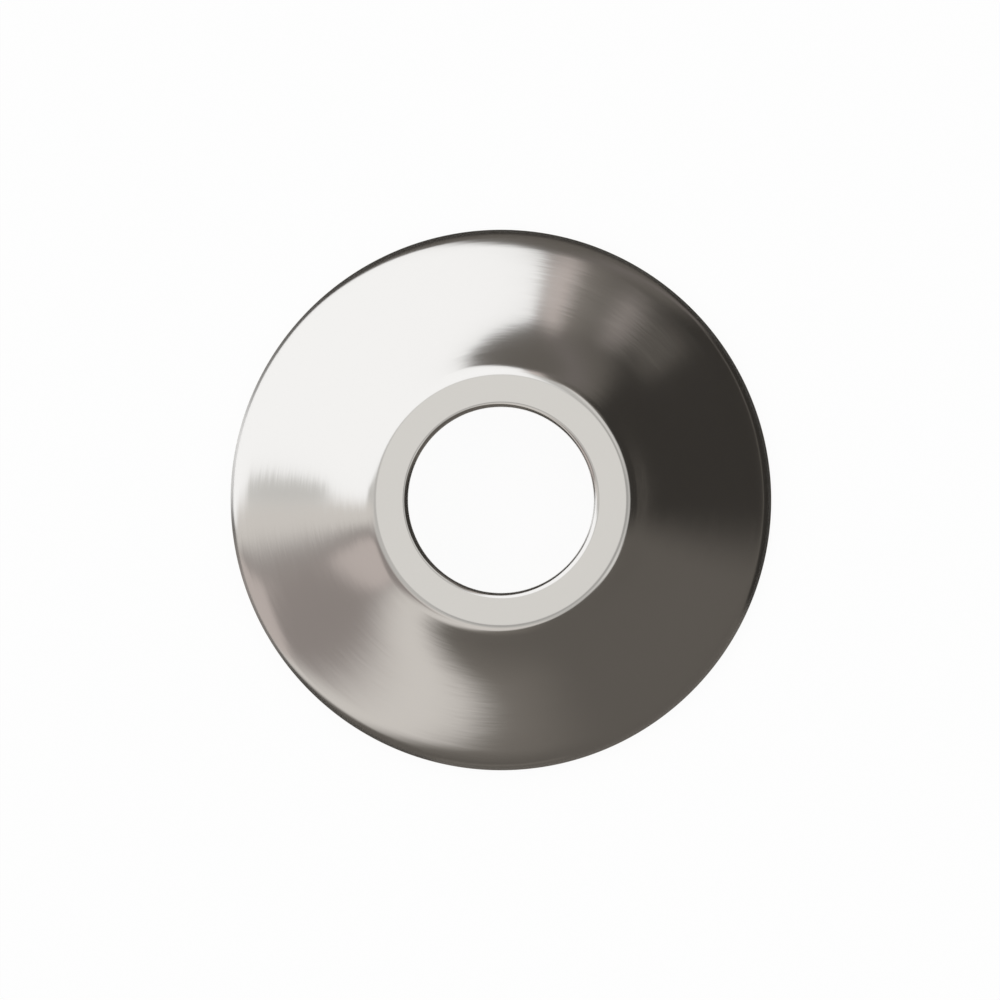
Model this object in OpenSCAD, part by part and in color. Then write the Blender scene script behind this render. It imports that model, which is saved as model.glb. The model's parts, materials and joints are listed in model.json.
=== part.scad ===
// Pipe rosette: one round cover plate, pressed from a single disc of thin sheet metal.
// The origin is the centre of the rim's lower edge, and +Z runs up along the pipe.

/* [Plate] */
// Outside diameter over the rim
outer_d = 65; // [60:1:90]
// Diameter of the hole for the pipe
bore_d = 22; // [14:0.5:26]
// Outside diameter of the flat ring around the hole
top_flat_d = 29.4; // [28:0.2:33]
// Thickness of the sheet
sheet_t = 0.5; // [0.3:0.05:0.6]

/* [Collar] */
// Depth of the collar that is turned down into the hole, from the flat ring
collar_depth = 2.7; // [1.4:0.1:4.5]
// Radius of the collar's bend on the underside of the sheet
collar_bend_r = 0.2; // [0.1:0.05:0.6]

/* [Bell] */
// Radius of the bend at the outside of the flat ring, on the underside of the sheet
crown_bend_r = 1.5; // [0.5:0.1:2.5]
// Slope of the face where that bend gives way to the neck's slacker one
crown_slope = 25; // [15:1:27]
// Radius of the neck's bend, on the face
neck_r = 8; // [3:0.5:12]
// Slope of the face below the neck, the steepest of the bell
neck_slope = 30; // [28:0.5:32]
// Length of the straight run at that slope
neck_run = 1.2; // [0.2:0.1:2]
// Radius of the hollow flare between the neck and the cone
flare_r = 70; // [20:5:80]
// Slope of the cone
cone_slope = 24; // [22:0.5:25]

/* [Rim] */
// Radius of the slack shoulder below the cone
shoulder_r = 25; // [5:1:30]
// Slope of the face where the shoulder meets the brow
shoulder_slope = 29; // [27:0.5:32]
// Radius of the brow, which turns down to the rim
brow_r = 5.5; // [2:0.5:8]
// Slope of the face below the brow
rim_slope = 39; // [35:1:45]
// Length of the straight run at that slope
rim_run = 0.3; // [0.25:0.05:0.8]
// Radius of the crisp bend over the skirt, on the face
rim_r = 0.15; // [0.05:0.05:0.4]
// Height of the upright skirt that stands on the wall
skirt_h = 1.2; // [0.4:0.1:6]

/* [Hidden] */

// Fewest flat steps in an arc, and the widest angle of one step
arc_steps = 4;
arc_step_angle = 5;

// Radii of the first two bends on the finished face
collar_r = collar_bend_r + sheet_t;
crown_r = crown_bend_r + sheet_t;

// A place on an arc is given by the slope of the face there, from 0 where it lies flat to 90 where
// it falls straight down to the rim. On the collar, which falls to the hole, the slope is negative.
function lean(slope) = [sin(slope), cos(slope)];
function downhill(slope) = [cos(slope), -sin(slope)];
function arc(centre, r, from, to) =
    let (n = max(arc_steps, ceil(abs(to - from) / arc_step_angle)))
    [for (i = [0:n]) centre + r * lean(from + (to - from) * i / n)];

// From the rim inwards: each centre follows from the point where two stretches meet
rim_centre = [outer_d / 2 - rim_r, skirt_h];
brow_foot = rim_centre + rim_r * lean(rim_slope) - rim_run * downhill(rim_slope);
brow_centre = brow_foot - brow_r * lean(rim_slope);
shoulder_centre = brow_centre + (brow_r - shoulder_r) * lean(shoulder_slope);
cone_foot = shoulder_centre + shoulder_r * lean(cone_slope);

// From the flat ring outwards, with heights counted from the flat ring
crown_drop = [top_flat_d / 2, -crown_r];
neck_drop = crown_drop + (crown_r - neck_r) * lean(crown_slope);
neck_end = neck_drop + neck_r * lean(neck_slope) + neck_run * downhill(neck_slope);
flare_drop = neck_end + flare_r * lean(neck_slope);
cone_top = flare_drop - flare_r * lean(cone_slope);

// The cone joins the two halves, and that sets the height of the flat ring over the wall
cone_fall = (cone_foot.x - cone_top.x) * tan(cone_slope);
height = cone_foot.y + cone_fall - cone_top.y;
ring_level = [0, height];

// Outline of the sheet's face from the collar to the brow, or of the surface a depth below it
function face_line(depth) = concat(
    [[bore_d / 2 + depth, height - collar_depth]],
    arc([bore_d / 2 + collar_r, height - collar_r], collar_r - depth, -90, 0),
    arc(crown_drop + ring_level, crown_r - depth, 0, crown_slope),
    arc(neck_drop + ring_level, neck_r - depth, crown_slope, neck_slope),
    arc(flare_drop + ring_level, -flare_r - depth, neck_slope, cone_slope),
    arc(shoulder_centre, shoulder_r - depth, cone_slope, shoulder_slope),
    arc(brow_centre, brow_r - depth, shoulder_slope, rim_slope)
);

// The rim is crisper outside than the sheet is thick, so inside it comes to a plain corner
brow_foot_below = brow_foot - sheet_t * lean(rim_slope);
skirt_wall = outer_d / 2 - sheet_t;
inner_corner = [
    skirt_wall,
    brow_foot_below.y - (skirt_wall - brow_foot_below.x) * tan(rim_slope)
];
rim_line = concat(
    arc(rim_centre, rim_r, rim_slope, 90),
    [[outer_d / 2, 0], [skirt_wall, 0], inner_corner]
);

function reversed(points) = [for (i = [len(points) - 1:-1:0]) points[i]];

// The whole plate: collar, flat ring, bell and rim are one pressing of even thickness
module rosette_shell() {
    color("silver")
        rotate_extrude($fn = 180)
            polygon(concat(face_line(0), rim_line, reversed(face_line(sheet_t))));
}

rosette_shell();
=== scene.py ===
import json
import math
import bpy
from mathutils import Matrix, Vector


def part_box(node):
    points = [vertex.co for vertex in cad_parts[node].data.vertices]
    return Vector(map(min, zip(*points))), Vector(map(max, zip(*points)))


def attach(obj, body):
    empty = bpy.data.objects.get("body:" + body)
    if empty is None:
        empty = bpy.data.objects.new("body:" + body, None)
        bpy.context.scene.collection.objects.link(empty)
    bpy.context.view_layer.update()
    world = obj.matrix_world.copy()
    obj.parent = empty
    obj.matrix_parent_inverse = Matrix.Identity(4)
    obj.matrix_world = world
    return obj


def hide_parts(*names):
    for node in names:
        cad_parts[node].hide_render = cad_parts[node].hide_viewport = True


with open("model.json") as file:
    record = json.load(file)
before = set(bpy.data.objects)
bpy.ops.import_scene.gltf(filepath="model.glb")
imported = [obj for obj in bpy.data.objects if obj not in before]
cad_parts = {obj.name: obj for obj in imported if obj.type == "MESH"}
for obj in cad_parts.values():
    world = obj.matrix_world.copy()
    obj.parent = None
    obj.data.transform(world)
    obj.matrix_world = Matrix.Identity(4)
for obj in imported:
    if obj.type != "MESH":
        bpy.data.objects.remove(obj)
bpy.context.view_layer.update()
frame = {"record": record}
scene = bpy.context.scene

# The rosette.
# A disc of sheet pressed into a low bell, with a flat ring and a short collar round the pipe.
# It is spun against fine abrasive, which leaves faint rings, and plated with satin nickel.
mm = 0.001
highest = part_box("rosette_shell")[1]
outer_r = highest.x
height = highest.z
pipe_bore = [mount for mount in frame["record"]["mounts"] if mount["name"] == "pipe_bore"][0]
bore_r = pipe_bore["dims"]["r_mm"] * mm

sheet_t = 0.5 * mm
cut_r = 0.1 * mm
collar_depth = 2.7 * mm
collar_r = 0.78 * mm
collar_slope = 41.5
collar_run = 0.2 * mm
collar_lip_r = 0.05 * mm
ring_r = 14.7 * mm
crown_r = 2 * mm
crown_slope = 25
neck_r = 8 * mm
neck_slope = 30
neck_run = 1.2 * mm
flare_r = 65 * mm
flare_slope = 25
waist_r = 150 * mm
cone_slope = 24
swell_slope = 25
shoulder_r = 22 * mm
shoulder_slope = 29
brow_r = 5.5 * mm
rim_slope = 39
rim_run = 0.35 * mm
rim_r = 0.08 * mm
around = 360


def lean(slope):
    """The way that a face of this slope looks, as outward and up."""
    return Vector((math.sin(math.radians(slope)), math.cos(math.radians(slope))))


def downhill(slope):
    """The way that runs down a face of this slope."""
    return Vector((math.cos(math.radians(slope)), -math.sin(math.radians(slope))))


def bend(line, radius, slope, step):
    """Bends the pressed line to a new slope. A radius below zero makes a hollow."""
    point, old = line[-1]
    steps = math.ceil(abs(slope - old) / step)
    for i in range(1, steps + 1):
        now = old + (slope - old) * i / steps
        line.append((point + radius * (lean(now) - lean(old)), now))


def run(line, length, steps):
    """Takes the pressed line straight on down its slope."""
    point, slope = line[-1]
    for i in range(1, steps + 1):
        line.append((point + downhill(slope) * length * i / steps, slope))


def slope_above_cone(line):
    """From the ring's edge, over the crown and the hollow of the bell, to its straight cone."""
    bend(line, crown_r, crown_slope, 2.5)
    bend(line, neck_r, neck_slope, 1)
    run(line, neck_run, 3)
    bend(line, -flare_r, flare_slope, 0.5)
    bend(line, -waist_r, cone_slope, 0.25)


def slope_below_cone(line):
    """From the straight cone, over the swell of the shoulder and the rim, to the skirt."""
    bend(line, waist_r, swell_slope, 0.25)
    bend(line, shoulder_r, shoulder_slope, 0.5)
    bend(line, brow_r, rim_slope, 1)
    run(line, rim_run, 2)
    bend(line, rim_r, 90, 8.5)


above = [(Vector((ring_r, height)), 0)]
slope_above_cone(above)
below = [(Vector((0, 0)), cone_slope)]
slope_below_cone(below)
cone_reach = outer_r - above[-1][0].x - below[-1][0].x

# The collar's cut edge comes first, then its wall and the ring.
front = [(Vector((bore_r + sheet_t, height - collar_depth + cut_r)), -270)]
bend(front, cut_r, -180, 30)
run(front, sheet_t - 2 * cut_r, 1)
bend(front, cut_r, -90, 30)
collar_end = len(front) - 1
mouth = [(Vector((0, 0)), -90)]
bend(mouth, collar_lip_r, -collar_slope, 12)
run(mouth, collar_run, 2)
bend(mouth, collar_r, 0, 3)
run(front, collar_depth - mouth[-1][0].y - cut_r, 4)
bend(front, collar_lip_r, -collar_slope, 12)
run(front, collar_run, 2)
bend(front, collar_r, 0, 3)
run(front, ring_r - bore_r - mouth[-1][0].x, 8)
slope_above_cone(front)
run(front, cone_reach / math.cos(math.radians(cone_slope)), 10)
slope_below_cone(front)
run(front, front[-1][0].y - cut_r, 3)
skirt_end = len(front) - 1
bend(front, cut_r, 180, 30)
run(front, sheet_t - 2 * cut_r, 1)
bend(front, cut_r, 270, 30)

# The hidden side lies half a millimetre in. There the slope and the skirt meet in a corner.
rim_top = [i for i, (point, slope) in enumerate(front) if slope > rim_slope][0]
mouth_top = [i for i, (point, slope) in enumerate(front) if i > collar_end and slope > -collar_slope][0]
back = [(Vector((bore_r + sheet_t, front[collar_end][0].y)), lean(90))]
first = front[mouth_top][0] - sheet_t * lean(front[mouth_top][1])
back.append((Vector((bore_r + sheet_t, first.y - 0.05 * mm)), lean(90)))
back += [(point - sheet_t * lean(slope), -lean(slope)) for point, slope in front[mouth_top:rim_top]]
corner = Vector((outer_r - sheet_t, 0))
last = back[-1][0]
corner.y = last.y - (corner.x - last.x) * math.tan(math.radians(rim_slope))
back.append((corner, -lean((rim_slope + 90) / 2)))
section = [(point, lean(slope)) for point, slope in front] + list(reversed(back[1:]))

shell_mesh = bpy.data.meshes.new("rosette")
corners = []
looks = []
for i in range(around):
    turn = 2 * math.pi * i / around
    for point, way in section:
        corners.append((point.x * math.cos(turn), point.x * math.sin(turn), point.y))
        looks.append((way.x * math.cos(turn), way.x * math.sin(turn), way.y))
length = len(section)
sides = []
for i in range(around):
    here = i * length
    there = (i + 1) % around * length
    for j in range(length):
        k = (j + 1) % length
        sides.append((here + j, here + k, there + k, there + j))
shell_mesh.from_pydata(corners, [], sides)
shell_mesh.polygons.foreach_set("use_smooth", [True] * len(sides))
shell_mesh.polygons.foreach_set("material_index", [int(i % length > skirt_end) for i in range(len(sides))])
shell_mesh.normals_split_custom_set_from_vertices(looks)
shell = bpy.data.objects.new("rosette", shell_mesh)
scene.collection.objects.link(shell)


def satin_nickel(name, roughness, scratch_tilt):
    """Nickel over spun sheet: rings of fine scratches, broken along the way round."""
    metal = bpy.data.materials.new(name)
    metal.use_nodes = True
    nodes = metal.node_tree.nodes
    links = metal.node_tree.links
    plate = nodes["Principled BSDF"]
    plate.inputs["Metallic"].default_value = 1
    plate.inputs["Base Color"].default_value = (0.66, 0.64, 0.605, 1)
    plate.inputs["Roughness"].default_value = roughness

    place = nodes.new("ShaderNodeTexCoord")
    flat = nodes.new("ShaderNodeVectorMath")
    flat.operation = "MULTIPLY"
    flat.inputs[1].default_value = (1, 1, 0)
    links.new(place.outputs["Object"], flat.inputs[0])
    from_middle = nodes.new("ShaderNodeVectorMath")
    from_middle.operation = "LENGTH"
    links.new(flat.outputs["Vector"], from_middle.inputs[0])
    way_out = nodes.new("ShaderNodeVectorMath")
    way_out.operation = "NORMALIZE"
    links.new(flat.outputs["Vector"], way_out.inputs[0])
    way_round = nodes.new("ShaderNodeVectorMath")
    way_round.operation = "CROSS_PRODUCT"
    way_round.inputs[0].default_value = (0, 0, 1)
    links.new(way_out.outputs["Vector"], way_round.inputs[1])
    surface = nodes.new("ShaderNodeNewGeometry")
    tilted = surface.outputs["Normal"]
    for rings_per_metre, strokes, way, tilt in (
        (5000, 5, way_round, scratch_tilt),
        (6000, 8, way_out, scratch_tilt * 0.6),
    ):
        rings = nodes.new("ShaderNodeMath")
        rings.operation = "MULTIPLY"
        rings.inputs[1].default_value = rings_per_metre
        links.new(from_middle.outputs["Value"], rings.inputs[0])
        up = nodes.new("ShaderNodeCombineXYZ")
        links.new(rings.outputs["Value"], up.inputs["Z"])
        along = nodes.new("ShaderNodeVectorMath")
        along.operation = "MULTIPLY_ADD"
        along.inputs[1].default_value = (strokes, strokes, strokes)
        links.new(way_out.outputs["Vector"], along.inputs[0])
        links.new(up.outputs["Vector"], along.inputs[2])
        scratches = nodes.new("ShaderNodeTexNoise")
        scratches.inputs["Scale"].default_value = 1
        scratches.inputs["Detail"].default_value = 3
        links.new(along.outputs["Vector"], scratches.inputs["Vector"])
        depth = nodes.new("ShaderNodeMapRange")
        depth.inputs["From Min"].default_value = 0.25
        depth.inputs["From Max"].default_value = 0.75
        depth.inputs["To Min"].default_value = -tilt
        depth.inputs["To Max"].default_value = tilt
        links.new(scratches.outputs["Fac"], depth.inputs["Value"])
        lean_by = nodes.new("ShaderNodeVectorMath")
        lean_by.operation = "SCALE"
        links.new(way.outputs["Vector"], lean_by.inputs[0])
        links.new(depth.outputs["Result"], lean_by.inputs["Scale"])
        leaned = nodes.new("ShaderNodeVectorMath")
        leaned.operation = "ADD"
        links.new(tilted, leaned.inputs[0])
        links.new(lean_by.outputs["Vector"], leaned.inputs[1])
        tilted = leaned.outputs["Vector"]
    level = nodes.new("ShaderNodeVectorMath")
    level.operation = "NORMALIZE"
    links.new(tilted, level.inputs[0])
    links.new(level.outputs["Vector"], plate.inputs["Normal"])
    return metal


shell_mesh.materials.append(satin_nickel("satin_nickel_face", 0.12, 0.007))
shell_mesh.materials.append(satin_nickel("satin_nickel_back", 0.2, 0.012))
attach(shell, "root")
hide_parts("rosette_shell")

# The table.
# White paper that the rosette lies on, rim down. It is lit from below, so it is white where it
# is seen or mirrored, and the rosette still shades the light that falls on it from above.
paper_reach = 3
paper_mesh = bpy.data.meshes.new("table_paper")
paper_corners = [(x * paper_reach, y * paper_reach, 0) for x, y in ((-1, -1), (1, -1), (1, 1), (-1, 1))]
paper_mesh.from_pydata(paper_corners, [], [(0, 1, 2, 3)])
paper = bpy.data.objects.new("table_paper", paper_mesh)
scene.collection.objects.link(paper)

white = bpy.data.materials.new("white_paper")
white.use_nodes = True
nodes = white.node_tree.nodes
links = white.node_tree.links
nodes.remove(nodes["Principled BSDF"])
matt = nodes.new("ShaderNodeBsdfDiffuse")
matt.inputs["Color"].default_value = (0.85, 0.85, 0.85, 1)
glow = nodes.new("ShaderNodeEmission")
glow.inputs["Strength"].default_value = 1.08
ray = nodes.new("ShaderNodeLightPath")
seen = nodes.new("ShaderNodeMath")
seen.operation = "ADD"
links.new(ray.outputs["Is Camera Ray"], seen.inputs[0])
links.new(ray.outputs["Is Glossy Ray"], seen.inputs[1])
seen_through = nodes.new("ShaderNodeMath")
seen_through.operation = "ADD"
links.new(seen.outputs["Value"], seen_through.inputs[0])
links.new(ray.outputs["Is Transmission Ray"], seen_through.inputs[1])
share = nodes.new("ShaderNodeMath")
share.operation = "MULTIPLY"
share.inputs[1].default_value = 0.85
share.use_clamp = True
links.new(seen_through.outputs["Value"], share.inputs[0])
lit_paper = nodes.new("ShaderNodeMixShader")
links.new(share.outputs["Value"], lit_paper.inputs["Fac"])
links.new(matt.outputs["BSDF"], lit_paper.inputs[1])
links.new(glow.outputs["Emission"], lit_paper.inputs[2])
links.new(lit_paper.outputs["Shader"], nodes["Material Output"].inputs["Surface"])
paper_mesh.materials.append(white)

# The studio.
# A dim room with soft sheets of light and grey card, each given by its corners as seen from the
# rosette: degrees round from the right, and down from straight above. Later ones hang nearer.
room = bpy.data.worlds.new("studio")
scene.world = room
room.use_nodes = True
nodes = room.node_tree.nodes
links = room.node_tree.links
toward = nodes.new("ShaderNodeTexCoord").outputs["Generated"]
dim_walls = nodes.new("ShaderNodeRGB")
dim_walls.outputs["Color"].default_value = (0.0486, 0.045, 0.0414, 1)
view = dim_walls.outputs["Color"]


def neutral(level):
    """Light from white cloth."""
    return (level, level, level, 1)


def warm(level):
    """Light from cloth that has yellowed a little."""
    return (1.03 * level, level, 0.985 * level, 1)


def pink(level):
    """Light from warm grey card with a little red in it."""
    return (1.1 * level, level, 0.98 * level, 1)


def olive(level):
    """Light from dull yellowish walls."""
    return (1.08 * level, level, 0.92 * level, 1)


def direction(round_from_right, down_from_top):
    """The direction from the rosette to a corner of a sheet."""
    turn = math.radians(round_from_right)
    tilt = math.radians(down_from_top)
    return Vector((math.sin(tilt) * math.cos(turn), math.sin(tilt) * math.sin(turn), math.cos(tilt)))


def hang(name, colour, softness, *places):
    """Hangs a sheet before all that hangs so far. Its sides blur over twice the softness."""
    global view
    hung = [direction(*place) for place in places]
    middle = sum(hung, Vector((0, 0, 0)))
    cover = None
    for start, end in zip(hung, hung[1:] + hung[:1]):
        inward = start.cross(end).normalized()
        if inward.dot(middle) < 0:
            inward = -inward
        inside = nodes.new("ShaderNodeVectorMath")
        inside.operation = "DOT_PRODUCT"
        inside.inputs[1].default_value = inward
        links.new(toward, inside.inputs[0])
        side = nodes.new("ShaderNodeMapRange")
        side.interpolation_type = "SMOOTHSTEP"
        side.inputs["From Min"].default_value = -math.radians(softness)
        side.inputs["From Max"].default_value = math.radians(softness)
        links.new(inside.outputs["Value"], side.inputs["Value"])
        if cover is None:
            cover = side.outputs["Result"]
            continue
        both = nodes.new("ShaderNodeMath")
        both.operation = "MULTIPLY"
        links.new(cover, both.inputs[0])
        links.new(side.outputs["Result"], both.inputs[1])
        cover = both.outputs["Value"]
    sheet = nodes.new("ShaderNodeMix")
    sheet.label = name
    sheet.data_type = "RGBA"
    sheet.inputs["B"].default_value = colour
    links.new(cover, sheet.inputs["Factor"])
    links.new(view, sheet.inputs["A"])
    view = sheet.outputs["Result"]


hang("front wall", olive(0.14), 8, (225, 60), (250, 25), (320, 20), (350, 40), (350, 89), (225, 89))
hang(
    "lit part of the front wall", olive(0.2), 8,
    (235, 60), (262, 40), (280, 38), (287, 55), (270, 60),
)
hang("back wall", olive(0.15), 6, (48, 50), (90, 45), (150, 60), (155, 83), (44, 79))
hang(
    "dark corner low on the right", olive(0.036), 3,
    (337, 71), (0, 65), (50, 74), (60, 89), (335, 89),
)
hang(
    "skirting board, right", olive(0.17), 1.5,
    (345, 63), (20, 63.5), (50, 71), (50, 74), (20, 66.5), (345, 65.5),
)
hang("skirting board, front", olive(0.22), 3, (255, 75), (285, 70.5), (285, 73), (255, 78))
hang("skirting board, between", olive(0.13), 2, (285, 70.5), (345, 62), (345, 65), (285, 73))
hang(
    "ceiling cloth", neutral(0.68), 5,
    (262, 51), (345, 37), (12, 36.5), (32, 39), (58, 47), (80, 52), (150, 60), (205, 60),
)
hang(
    "shade on the cloth, front", neutral(0.52), 4,
    (235, 9), (240, 17), (280, 20), (320, 18), (325, 9),
)
hang("shade on the cloth, right", neutral(0.5), 4, (315, 9), (318, 22), (10, 24), (40, 22), (45, 9))
hang("middle of the cloth", neutral(0.99), 4, (45, 9), (135, 9), (225, 9), (315, 9))
hang("strip on the cloth", neutral(0.9), 4, (15, 26), (21, 17), (57, 33), (63, 48), (50, 47.5))
hang("soft end of the strip", olive(0.2), 3, (39, 46), (64, 46), (64, 51.5), (39, 51))
hang("bright spot at its end", pink(0.42), 3, (51, 47), (60, 47), (59, 51.5), (53, 51.5))
hang("patch on the cloth", neutral(0.95), 5, (316, 25), (343, 25), (337, 41), (321, 41))
hang("gap beside the strip", olive(0.22), 3, (62, 40), (69, 36), (70.5, 53), (65, 54))
hang(
    "side light", warm(0.85), 4,
    (266, 50.5), (300, 32), (230, 28), (195, 48), (195, 81), (218, 80),
)
hang(
    "shade on the side light", pink(0.325), 10,
    (189, 38), (215, 33), (246, 42), (238, 50), (214, 72), (205, 82), (189, 80),
)
hang(
    "low card", pink(0.62), 2.5,
    (199, 53), (216, 59.5), (218, 70), (212, 80), (191, 80), (194, 65),
)
hang(
    "main light", (1.36, 1.387, 1.443, 1), 1.8,
    (63, 11), (79.5, 54), (97, 60), (104.5, 63), (120, 71), (135, 78.5), (150, 80.5), (165, 83),
    (182, 81.5), (187, 78), (184, 56),
)
hang(
    "side of the main light", warm(0.84), 4,
    (176, 22), (178.5, 56), (187, 80), (192, 80), (192.5, 62), (190, 24),
)
hang(
    "card on the main light", neutral(0.74), 2,
    (168, 24), (171, 40), (173, 51), (175, 55), (181, 56), (180, 24),
)
hang("dark foot of the side light", olive(0.05), 2.5, (200, 82.5), (255, 81), (255, 88), (200, 88))
hang("pole", pink(0.66), 2.5, (71.5, 38), (78, 38), (78, 54), (71, 55))
hang("foot of the pole", pink(0.2), 4, (69, 55), (77, 55), (62, 64), (42, 76), (38, 74))

# A pale cloth runs round the room just above the table.
rise = nodes.new("ShaderNodeSeparateXYZ")
links.new(toward, rise.inputs["Vector"])
low = nodes.new("ShaderNodeMapRange")
low.interpolation_type = "SMOOTHSTEP"
low.inputs["From Min"].default_value = math.sin(math.radians(5.2))
low.inputs["From Max"].default_value = math.sin(math.radians(4))
links.new(rise.outputs["Z"], low.inputs["Value"])
skirt_cloth = nodes.new("ShaderNodeMix")
skirt_cloth.data_type = "RGBA"
skirt_cloth.inputs["B"].default_value = neutral(0.97)
links.new(low.outputs["Result"], skirt_cloth.inputs["Factor"])
links.new(view, skirt_cloth.inputs["A"])
links.new(skirt_cloth.outputs["Result"], nodes["Background"].inputs["Color"])

# Only metal and the eye tell the sheets apart. Paper gets their light as one even glow.
even = nodes.new("ShaderNodeBackground")
even.inputs["Color"].default_value = neutral(0.55)
ray = nodes.new("ShaderNodeLightPath")
sharp = nodes.new("ShaderNodeMath")
sharp.operation = "ADD"
links.new(ray.outputs["Is Glossy Ray"], sharp.inputs[0])
links.new(ray.outputs["Is Camera Ray"], sharp.inputs[1])
both_rooms = nodes.new("ShaderNodeMixShader")
links.new(sharp.outputs["Value"], both_rooms.inputs["Fac"])
links.new(even.outputs["Background"], both_rooms.inputs[1])
links.new(nodes["Background"].outputs["Background"], both_rooms.inputs[2])
links.new(both_rooms.outputs["Shader"], nodes["World Output"].inputs["Surface"])
room.cycles.sampling_method = "NONE"

# The camera.
# It looks straight down on the rosette from half a metre, as the photograph was taken.
lens = bpy.data.cameras.new("camera")
lens.lens = 154.5
lens.sensor_width = 36
camera = bpy.data.objects.new("camera", lens)
camera.location = (-0.12 * mm, 0, 517 * mm)
scene.collection.objects.link(camera)
scene.camera = camera

scene.view_settings.view_transform = "Standard"
